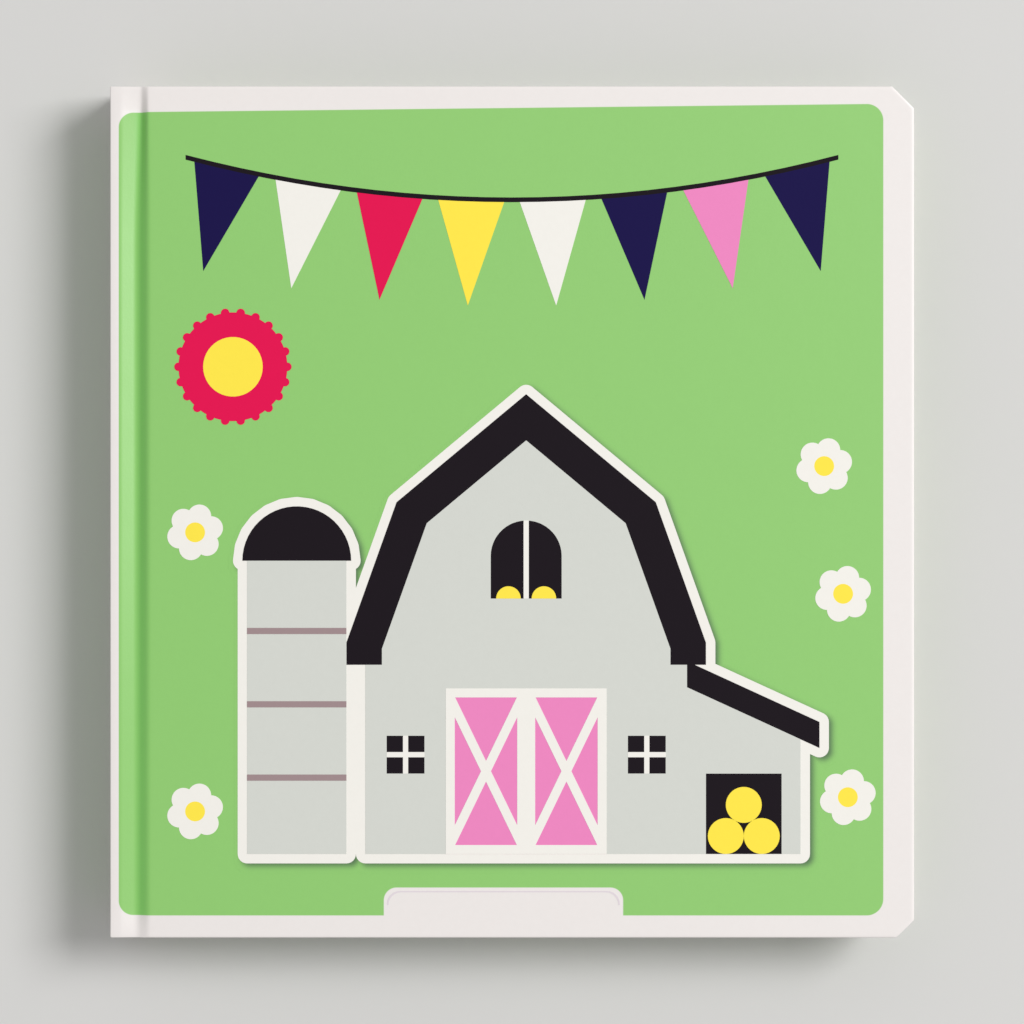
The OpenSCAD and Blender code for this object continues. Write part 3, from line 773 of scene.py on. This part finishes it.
def flip_over(piece):
    """Mirrors a front piece to the back of the book."""
    rest = piece.data.attributes[REST]
    values = np.zeros(len(piece.data.vertices) * 3, np.float32)
    rest.data.foreach_get("vector", values)
    values[2::3] = BOOK_TOP - values[2::3]
    rest.data.foreach_set("vector", values)
    for vertex in piece.data.vertices:
        vertex.co.z = BOOK_TOP * MM - vertex.co.z


def make_case():
    front = case_half("case_front", case_material("cover_print", tab=True))
    back = case_half("case_back", case_material("back_cover_print", tab=False))
    flip_over(back)
    for piece, side in ((front, "front"), (back, "back")):
        face_outward(piece)
        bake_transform(piece)
        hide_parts(side + "_sheet", side + "_field_green", side + "_hinge_field_green")
    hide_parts("spine_sheet", "spine_field_green")


# Printed shadow

def sticker_segments():
    """Edges in plan of the largest white field that lies on the cover."""
    mesh = frame["nodes"]["print_white"].data
    shape = bmesh.new()
    shape.from_mesh(mesh)
    bmesh.ops.remove_doubles(shape, verts=shape.verts, dist=1e-7)
    level = (BOOK_TOP + PRINT_T) * MM
    tops = {f for f in shape.faces if all(abs(v.co.z - level) < 0.2 * PRINT_T * MM for v in f.verts)}
    best, best_area = [], 0.0
    while tops:
        group, waiting = set(), [tops.pop()]
        while waiting:
            face = waiting.pop()
            group.add(face)
            for edge in face.edges:
                for other in edge.link_faces:
                    if other in tops:
                        tops.discard(other)
                        waiting.append(other)
        area = sum(f.calc_area() for f in group)
        if area > best_area:
            border = [e for f in group for e in f.edges if sum(g in group for g in e.link_faces) == 1]
            best = [[(v.co.x / MM, v.co.y / MM) for v in e.verts] for e in border]
            best_area = area
    shape.free()
    return np.array(best)


def signed_distance(points, segments):
    """Distance of each point from the outline, negative inside it."""
    nearest = np.full(len(points), 1e9)
    inside = np.zeros(len(points), bool)
    x, y = points[:, 0], points[:, 1]
    for (ax, ay), (bx, by) in segments:
        dx, dy = bx - ax, by - ay
        t = np.clip(((x - ax) * dx + (y - ay) * dy) / max(dx * dx + dy * dy, 1e-12), 0, 1)
        nearest = np.minimum(nearest, np.hypot(x - ax - t * dx, y - ay - t * dy))
        crosses = (ay > y) != (by > y)
        if abs(dy) > 1e-12:
            inside ^= crosses & (x < ax + (y - ay) * dx / dy)
    return np.where(inside, -nearest, nearest)


def shadow_faces(own, fade, columns, rows):
    """Cells of the plan that the shadow reaches, as indexes of their corners."""
    cells = []
    for row in range(rows - 1):
        for column in range(columns - 1):
            at = row * columns + column
            corners = [at, at + 1, at + columns + 1, at + columns]
            near = own[corners].min() < SHADOW_REACH and own[corners].max() > -SHADOW_STEP
            if near and fade[corners].max() > SHADOW_FAINTEST:
                cells.append(corners)
    return cells


def make_shadow():
    segments = sticker_segments()
    low = segments.reshape(-1, 2).min(0) - SHADOW_REACH
    high = segments.reshape(-1, 2).max(0) + SHADOW_REACH
    columns, rows = (int(math.ceil((high[i] - low[i]) / SHADOW_STEP)) + 1 for i in range(2))
    xs = low[0] + SHADOW_STEP * np.arange(columns)
    ys = low[1] + SHADOW_STEP * np.arange(rows)
    plan = np.array([(x, y) for y in ys for x in xs])
    own = signed_distance(plan, segments)
    shifted = signed_distance(plan - np.array(SHADOW_SHIFT), segments)
    blur = SHADOW_BLUR * math.sqrt(2)
    fade = np.array([0.5 * math.erfc(d / blur) for d in shifted]) * SHADOW_STRENGTH
    used = {}
    faces = [tuple(used.setdefault(corner, len(used)) for corner in cell)
             for cell in shadow_faces(own, fade, columns, rows)]
    order = sorted(used, key=used.get)
    count = len(order)
    levels = (BOOK_TOP + PRINT_T / 2, BOOK_TOP - PRINT_T)
    points = [(plan[c][0], plan[c][1], level) for level in levels for c in order]
    edges = {edge for face in faces for edge in zip(face, face[1:] + face[:1])}
    rim = sorted(edge for edge in edges if edge[::-1] not in edges)
    faces += [tuple(count + i for i in reversed(face)) for face in faces]
    faces += [(b, a, count + a, count + b) for a, b in rim]
    piece = add_mesh("printed_shadow", points, faces, shadow_material(), smooth=False)
    values = piece.data.attributes.new(FADE, "FLOAT", "POINT")
    values.data.foreach_set("value", np.array([fade[c] for c in order] * 2, np.float32))
    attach(piece, "front_cover")
    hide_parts("print_shadow")


# Pop-ups of the first and last spread, folded shut

def folded_place(u, y, h):
    """Where a point of the opened first spread lies when the book is shut.

    u and h are measured from the hinge's axis, across the spread and up from it.
    """
    radius, angle = math.hypot(u, h), math.atan2(h, u)
    low, high = 0.0, 1.0
    for _ in range(40):
        t = (low + high) / 2
        turned = angle - smoothstep(t) * math.pi
        if HINGE_Z + radius * math.sin(turned) > RISE_FROM_Z + t * (RISE_TO_Z - RISE_FROM_Z):
            low = t
        else:
            high = t
    return (HINGE_X + radius * math.cos(turned), y, HINGE_Z + radius * math.sin(turned))


def leaning(base_u, base_h, top_h):
    """Plane of one wall of a ridge over the gutter. s runs along the gutter and h up."""
    run, rise = abs(base_u), top_h - base_h
    length = math.hypot(run, rise)
    side = math.copysign(1, base_u)

    def place(s, h, depth):
        u = side * (run * (top_h - h) / rise + depth * rise / length)
        return (u, s, h + depth * run / length)
    return place


def upright(u, side):
    """Upright plane beside the gutter, whose printed face looks to the given side."""
    return lambda s, h, depth: (u + side * depth, s, h)


def level(h):
    """Level plane at a height. Its outline has s along the gutter and u across it."""
    return lambda s, u, depth: (u, s, h + depth)


class PopUp:
    """Cards and printed fields of one pop-up.

    They are drawn in the opened spread and folded shut as one piece.
    """

    def __init__(self, name, colors):
        self.name = name
        self.points = []
        self.faces = []
        self.inks = []
        self.colors = colors

    def card(self, outline, place, color, near=0.0, far=CARD_T):
        """Closed thin solid with the given outline, between two depths of its plane."""
        first = len(self.points)
        count = len(outline)
        for depth in (near, far):
            self.points += [folded_place(*place(a, b, depth)) for a, b in outline]
        triangles = tessellate_polygon([[Vector((a, b, 0)) for a, b in outline]])
        made = [tuple(first + i for i in triangle) for triangle in triangles]
        made += [tuple(first + count + i for i in reversed(triangle)) for triangle in triangles]
        for i in range(count):
            after = (i + 1) % count
            made.append((first + i, first + after, first + count + after, first + count + i))
        self.faces += made
        self.inks += [list(self.colors).index(color)] * len(made)

    def field(self, outline, place, color, layer=1):
        """Printed field on the face of a card."""
        lift = CARD_T + FIELD_T * (layer - 1)
        self.card(outline, place, color, lift, lift + FIELD_T)

    def finish(self, cover, slot, *nodes):
        materials = [card_ink(f"{self.name}_{color}", self.colors[color]) for color in self.colors]
        piece = add_mesh(self.name, self.points, self.faces, materials[0], smooth=False)
        for material in materials[1:]:
            piece.data.materials.append(material)
        piece.data.polygons.foreach_set("material_index", self.inks)
        if cover == "back_cover":
            flip_over(piece)
        face_outward(piece)
        rise_with(piece, cover)
        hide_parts(*nodes)


def rise_with(piece, cover):
    """Bakes the piece's place into its mesh. The levels of the pages and of its cover are worked out
    but not used.
    """
    start, end = RISE_FROM_Z, RISE_TO_Z
    if cover == "back_cover":
        start, end = BOOK_TOP - start, BOOK_TOP - end
    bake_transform(piece)


def box_outline(a0, a1, b0, b1):
    return [(a0, b0), (a1, b0), (a1, b1), (a0, b1)]


def roof_outline(low_half, low, high_half, high):
    return [(-low_half, low), (low_half, low), (high_half, high), (-high_half, high)]


def toward(start, end, share):
    """Point at a share of the way from one point to another."""
    return tuple(a + (b - a) * share for a, b in zip(start, end))


def disc_outline(a, b, radius, steps):
    return arc((a, b), radius, 0, 360 * (steps - 1) / steps, steps - 1)


def barn_wall(popup, place, base):
    """One printed wall and roof slope of the barn."""
    eave, ridge = BARN_EAVE_H, BARN_RIDGE_H
    wall, eaves, top = BARN_HALF_W, BARN_HALF_W + EAVES_REACH, BARN_HALF_W + RIDGE_REACH
    popup.card([(-wall, base), (wall, base), (wall, eave), (eaves, eave), (top, ridge),
                (-top, ridge), (-eaves, eave), (-wall, eave)], place, "grey")
    barn_roof(popup, place, eaves, top)
    barn_door(popup, place, base)
    for middle in (-WINDOW_X, WINDOW_X):
        barn_window(popup, place, middle)


def barn_roof(popup, place, eaves, top):
    """Black slope with a white rim and two battens."""
    eave, ridge = BARN_EAVE_H, BARN_RIDGE_H
    low, high = eave + RAFTER_W, ridge - RAFTER_W
    popup.field(roof_outline(eaves, eave, top, ridge - 0.1), place, "white")
    popup.field(roof_outline(eaves - 1.8, low, top - 1.2, high), place, "black", 2)
    for row in (1, 2):
        h = eave + row * (ridge - eave) / 3
        popup.field(box_outline(4 - top, top - 4, h - 0.4, h + 0.4), place, "mauve", 3)


def barn_door(popup, place, base):
    """Two pink door leaves, each with a white cross."""
    popup.field(box_outline(-DOOR_HALF_W, DOOR_HALF_W, base, DOOR_H), place, "white")
    low, high = base + DOOR_RIM, DOOR_H - DOOR_RIM
    for middle in (-DOOR_HALF_W / 2, DOOR_HALF_W / 2):
        centre = (middle, (low + high) / 2)
        corners = box_outline(middle - DOOR_LEAF_HALF_W, middle + DOOR_LEAF_HALF_W, low, high)
        for first, second in zip(corners, corners[1:] + corners[:1]):
            side = toward(first, second, 0.5)
            triangle = [toward(centre, side, 0.16), toward(centre, first, 0.86),
                        toward(centre, second, 0.86)]
            popup.field(triangle, place, "pink", 2)


def barn_window(popup, place, middle):
    """White window with four black panes."""
    frame_outline = box_outline(middle - WINDOW_HALF_W, middle + WINDOW_HALF_W, *WINDOW_H)
    popup.field(frame_outline, place, "white")
    for a in (middle - 4.4, middle + 0.5):
        for b in (7.6, 12.5):
            popup.field(box_outline(a, a + PANE_W, b, b + PANE_W), place, "black", 2)


def cupola(popup, place):
    """Turret with louvres on the ridge of the barn."""
    ridge, half, reach = BARN_RIDGE_H, CUPOLA_HALF_W, CUPOLA_ROOF_HALF_W
    eave = ridge + CUPOLA_EAVE
    roof = [(-reach, eave), (reach, eave), (0, ridge + CUPOLA_TOP)]
    wall = [(-half, ridge - 1), (half, ridge - 1), (half, eave)]
    popup.card([*wall, *roof[1:], roof[0], (-half, eave)], place, "grey")
    popup.field(roof, place, "black")
    popup.card(roof, place, "black", -FIELD_T, 0.0)
    for h in LOUVRES:
        low = ridge + h
        louvre = box_outline(-LOUVRE_HALF_W, LOUVRE_HALF_W, low, low + LOUVRE_H)
        popup.field(louvre, place, "black")


def silo_wall(popup, place, base, domed):
    """One side of the silo, with hoops, and with its dome on the printed side."""
    left, right = SILO_S - SILO_HALF_W, SILO_S + SILO_HALF_W
    outline = box_outline(left, right, base, SILO_H)
    dome = arc((SILO_S, SILO_H), SILO_HALF_W, 0, 180, DOME_STEPS)
    popup.card(outline[:2] + dome if domed else outline, place, "grey")
    for h in HOOPS:
        popup.field(box_outline(left, right, h, h + HOOP_H), place, "mauve")
    if domed:
        popup.field(dome, place, "black")
        popup.card(dome, place, "black", -FIELD_T, 0.0)


def fence(popup, u, side, base, height):
    """Row of pickets parallel to the gutter, with two rails."""
    place = upright(u, side)
    shoulder = height - PICKET_HALF_W
    for a in FENCE_SPOTS:
        left, right = a - PICKET_HALF_W, a + PICKET_HALF_W
        popup.card([(left, base), (right, base), (right, shoulder), (a, height), (left, shoulder)],
                   place, "white")
    reach = FENCE_SPOTS[-1] + PICKET_HALF_W
    for share in RAIL_SHARES:
        h = base + share * (height - base)
        popup.card(box_outline(-reach, reach, h - 1, h + 1), place, "white", -CARD_T, 0.0)


def hedge(popup, u, side, base, radius):
    """Scalloped hedge parallel to the gutter, with daisies."""
    place = upright(u, side)
    reach = HEDGE_SPOTS[-1] + radius
    outline = [(-reach, base), (reach, base)]
    top = base + radius * 0.6
    for a in reversed(HEDGE_SPOTS):
        outline += arc((a, top), radius, 8, 172, 8)
    popup.card(outline, place, "green")
    for number, a in enumerate(HEDGE_SPOTS):
        h = top + radius * (0.45 if number % 2 else 0.05)
        popup.field(disc_outline(a, h, DAISY_R, 12), place, "white")
        popup.field(disc_outline(a, h, DAISY_EYE_R, 10), place, "yellow", 2)


def straps(popup, side, share):
    """Two level straps from a ridge's foot, at a share of its base, to the card beside the gutter."""
    for s in (-STRAP_X, STRAP_X):
        reach = sorted((side * TENT_BASE * share, side * LAYER_U))
        strap = box_outline(s - STRAP_HALF_W, s + STRAP_HALF_W, *reach)
        popup.card(strap, level(STRAP_H), "green")


def make_barn():
    popup = PopUp("popup_barn", {
        "grey": PALE_GREY, "white": CARD, "black": BLACK, "pink": PINK, "mauve": MAUVE,
        "green": HEDGE_GREEN, "yellow": YELLOW})
    for base_u, base, domed in ((TENT_BASE, PAGE_H, True), (-TENT_BASE, PASTED_H, False)):
        barn_wall(popup, leaning(base_u, base, BARN_RIDGE_H), base)
        silo_wall(popup, leaning(base_u * 0.6, base, SILO_H), base, domed)
    cupola(popup, leaning(TENT_BASE, PAGE_H, BARN_RIDGE_H))
    fence(popup, LAYER_U, 1, PAGE_H, 11)
    hedge(popup, -LAYER_U, -1, PASTED_H, 7.5)
    for side in (-1, 1):
        straps(popup, side, 0.84)
    popup.finish("front_cover", "pale_grey_card", "popup_1_barn", "popup_1_brace")


def sunflower(popup, u, side, base, s, height):
    """Sunflower on a stem with one leaf."""
    place = upright(u, side)
    stem = box_outline(s - STEM_HALF_W, s + STEM_HALF_W, base, height)
    popup.card(stem, place, "green")
    leaf = [(s, base + 4), (s + 6, base + 8), (s + 7, base + 12), (s + 2, base + 9)]
    popup.card(leaf, place, "green")
    petals = []
    for i in range(24):
        turn, radius = math.pi * i / 12, PETAL_R[i % 2]
        petals.append((s + radius * math.cos(turn), height + radius * math.sin(turn)))
    popup.card(petals, place, "yellow", CARD_T, 2 * CARD_T)
    seeds = disc_outline(s, height, SEEDS_R, 16)
    popup.card(seeds, place, "brown", 2 * CARD_T, 2 * CARD_T + FIELD_T)


def ridge_fence(popup, place, base, even_tall):
    """One slope of a picket fence that leans over the gutter, with a heart on each picket."""
    ridge, half = FENCE_RIDGE_H, RIDGE_PICKET_HALF_W
    for low, high in ((ridge - 9, ridge), (base + 5, base + 11)):
        rail = box_outline(-RIDGE_RAIL_HALF_W, RIDGE_RAIL_HALF_W, low, high)
        popup.card(rail, place, "white")
    for number in range(RIDGE_PICKETS):
        s = RIDGE_PICKET_PITCH * (number - RIDGE_PICKETS // 2)
        foot = [(s - half, base), (s + half, base)]
        tip = [(s + half, ridge - 1), (s - half, ridge - 1)]
        if (number % 2 == 0) == even_tall:
            tip = [(s + half, ridge + 5), (s, ridge + 9), (s - half, ridge + 5)]
        popup.card(foot + tip, place, "white", CARD_T, 2 * CARD_T)
        heart = disc_outline(s, ridge - 4.5, 1.6, 12)
        popup.card(heart, place, "crimson", 2 * CARD_T, 2 * CARD_T + FIELD_T)


def make_fence():
    popup = PopUp("popup_fence", {
        "white": CARD, "green": HEDGE_GREEN, "yellow": YELLOW, "brown": SEED_BROWN,
        "crimson": CRIMSON})
    for base_u, base in ((TENT_BASE, PAGE_H), (-TENT_BASE, PASTED_H)):
        ridge_fence(popup, leaning(base_u, base, FENCE_RIDGE_H), base, base_u > 0)
    for side, base, shift in ((1, PAGE_H, 0), (-1, PASTED_H, 8)):
        hedge(popup, side * LAYER_U, side, base, 6)
        for s, height in SUNFLOWERS:
            sunflower(popup, side * (LAYER_U - 4), side, base, s + shift, height)
        straps(popup, side, 0.8)
    popup.finish("back_cover", "page_card", "popup_5_fence", "popup_5_brace")


def gutter_line():
    """Section of the card that crosses the gutter, from the pages round the fold to the cover."""
    low, high = LEAF_TOP_Z + GUTTER_CARD_GAP, PASTED_Z - GUTTER_CARD_GAP
    half = (PASTED_Z - LEAF_TOP_Z) / 2
    bend = (GUTTER_X + GUTTER_CARD_INSET + half, (PASTED_Z + LEAF_TOP_Z) / 2)
    start_x, end_x = GUTTER_X + GUTTER_CARD_W, GUTTER_X + half + 2
    line = [(start_x, low), (end_x, low)]
    line += arc(bend, half - GUTTER_CARD_GAP, -90, -270, 16)
    return line + [(end_x, high), (start_x, high)]


def thickened(line, thick):
    """The points of a line moved to its right by a thickness."""
    moved = []
    for i, (x, z) in enumerate(line):
        before, after = line[max(i - 1, 0)], line[min(i + 1, len(line) - 1)]
        along = (after[0] - before[0], after[1] - before[1])
        length = math.hypot(*along)
        moved.append((x + along[1] / length * thick, z - along[0] / length * thick))
    return moved


def make_gutter(cover):
    """Printed card across the gutter of the first or last spread, as a closed thin solid."""
    line = gutter_line()
    section = line + thickened(line, GUTTER_CARD_T)[::-1]
    end_y = PASTED_HIGH[1] - GUTTER_CARD_INSET
    rows = np.linspace(-end_y, end_y, 9)
    count = len(section)
    points = [(x, y, z) for y in rows for x, z in section]
    faces = []
    for row in range(len(rows) - 1):
        near, far = row * count, (row + 1) * count
        for i in range(count):
            after = (i + 1) % count
            faces.append((near + i, near + after, far + after, far + i))
    for row in (0, len(rows) - 1):
        first, last = row * count, (row + 1) * count - 1
        faces += [(first + i, first + i + 1, last - i - 1, last - i) for i in range(len(line) - 1)]
    material = page_material(cover + "_gutter", blended=True)
    piece = add_mesh(cover.replace("cover", "gutter"), points, faces, material)
    if cover == "back_cover":
        flip_over(piece)
    face_outward(piece)
    rise_with(piece, cover)


# Materials of the CAD nodes that stay

def dress(node, material):
    slots = frame["nodes"][node].data.materials
    slots.clear()
    slots.append(material)


def dress_nodes():
    inks = {"print_white": (WHITE, 0.3), "print_grey": (PALE_GREY, 0.3), "print_black": (BLACK, 0.1),
            "print_pink": (PINK, 0.3), "print_crimson": (CRIMSON, 0.15), "print_yellow": (YELLOW, 0.25),
            "print_navy": (NAVY, 0.1)}
    for node, (color, specular) in inks.items():
        dress(node, ink_material(node + "_ink", color, specular))
    dress("print_mauve", mauve_material(0.2))
    leaves = page_material("printed_leaf")
    for node in ("page_block", "front_pastedown", "back_pastedown"):
        dress(node, leaves)
    board = card_material("grey_board", GREY_BOARD, GREY_BOARD)
    for node in ("front_board", "back_board", "spine_board"):
        dress(node, board)
    cards = {"popup_1_barn": PALE_GREY, "popup_2_tree": GREEN, "popup_3_cart": CRIMSON,
             "popup_4_haystack": YELLOW, "popup_5_fence": WHITE}
    for node, color in cards.items():
        dress(node, card_material(node + "_card", color))
    plain = card_material("plain_card", CARD)
    for number in range(1, 6):
        dress(f"popup_{number}_brace", plain)


# Surroundings

CAMERA_HEIGHT = 0.9
PHOTO_WIDTH = 0.2165
SENSOR = 36.0
FLOOR_HALF = 3000
FLOOR_Z = -0.02
WORLD_STRENGTH = 0.48
KEY_PLACE = (2.18, 0.9, 2.63)
KEY_SIZE = 1.5
KEY_POWER = 92.0


def make_camera():
    data = bpy.data.cameras.new("camera")
    data.sensor_width = SENSOR
    data.lens = CAMERA_HEIGHT * SENSOR / PHOTO_WIDTH
    camera = bpy.data.objects.new("camera", data)
    camera.location = (0, 0, BOOK_TOP * MM + CAMERA_HEIGHT)
    bpy.context.scene.collection.objects.link(camera)
    bpy.context.scene.camera = camera


def add_lamp(name, place, size, power):
    data = bpy.data.lights.new(name, "AREA")
    data.size = size
    data.energy = power
    lamp = bpy.data.objects.new(name, data)
    lamp.location = place
    aim = -lamp.location
    lamp.rotation_mode = "QUATERNION"
    lamp.rotation_quaternion = aim.to_track_quat("-Z", "Y")
    bpy.context.scene.collection.objects.link(lamp)


def make_surroundings():
    paint = Paint("pale_floor")
    place = paint.object_mm()
    floor_material = paint.finish(paint.speckle(FLOOR_GREY, place, 0.01, 0.01), 0.8, 0.1)
    corners = box_outline(-FLOOR_HALF, FLOOR_HALF, -FLOOR_HALF, FLOOR_HALF)
    points = [(x, y, FLOOR_Z) for x, y in corners]
    floor = add_mesh("floor", points, [(0, 1, 2, 3)], floor_material)
    world = bpy.data.worlds.new("studio")
    world.use_nodes = True
    background = world.node_tree.nodes["Background"].inputs
    background["Color"].default_value = (1, 1, 1, 1)
    background["Strength"].default_value = WORLD_STRENGTH
    bpy.context.scene.world = world
    add_lamp("key", KEY_PLACE, KEY_SIZE, KEY_POWER)
    bpy.context.scene.view_settings.view_transform = "Standard"


make_camera()
make_case()
make_shadow()
make_barn()
make_fence()
make_gutter("front_cover")
make_gutter("back_cover")
dress_nodes()
make_surroundings()
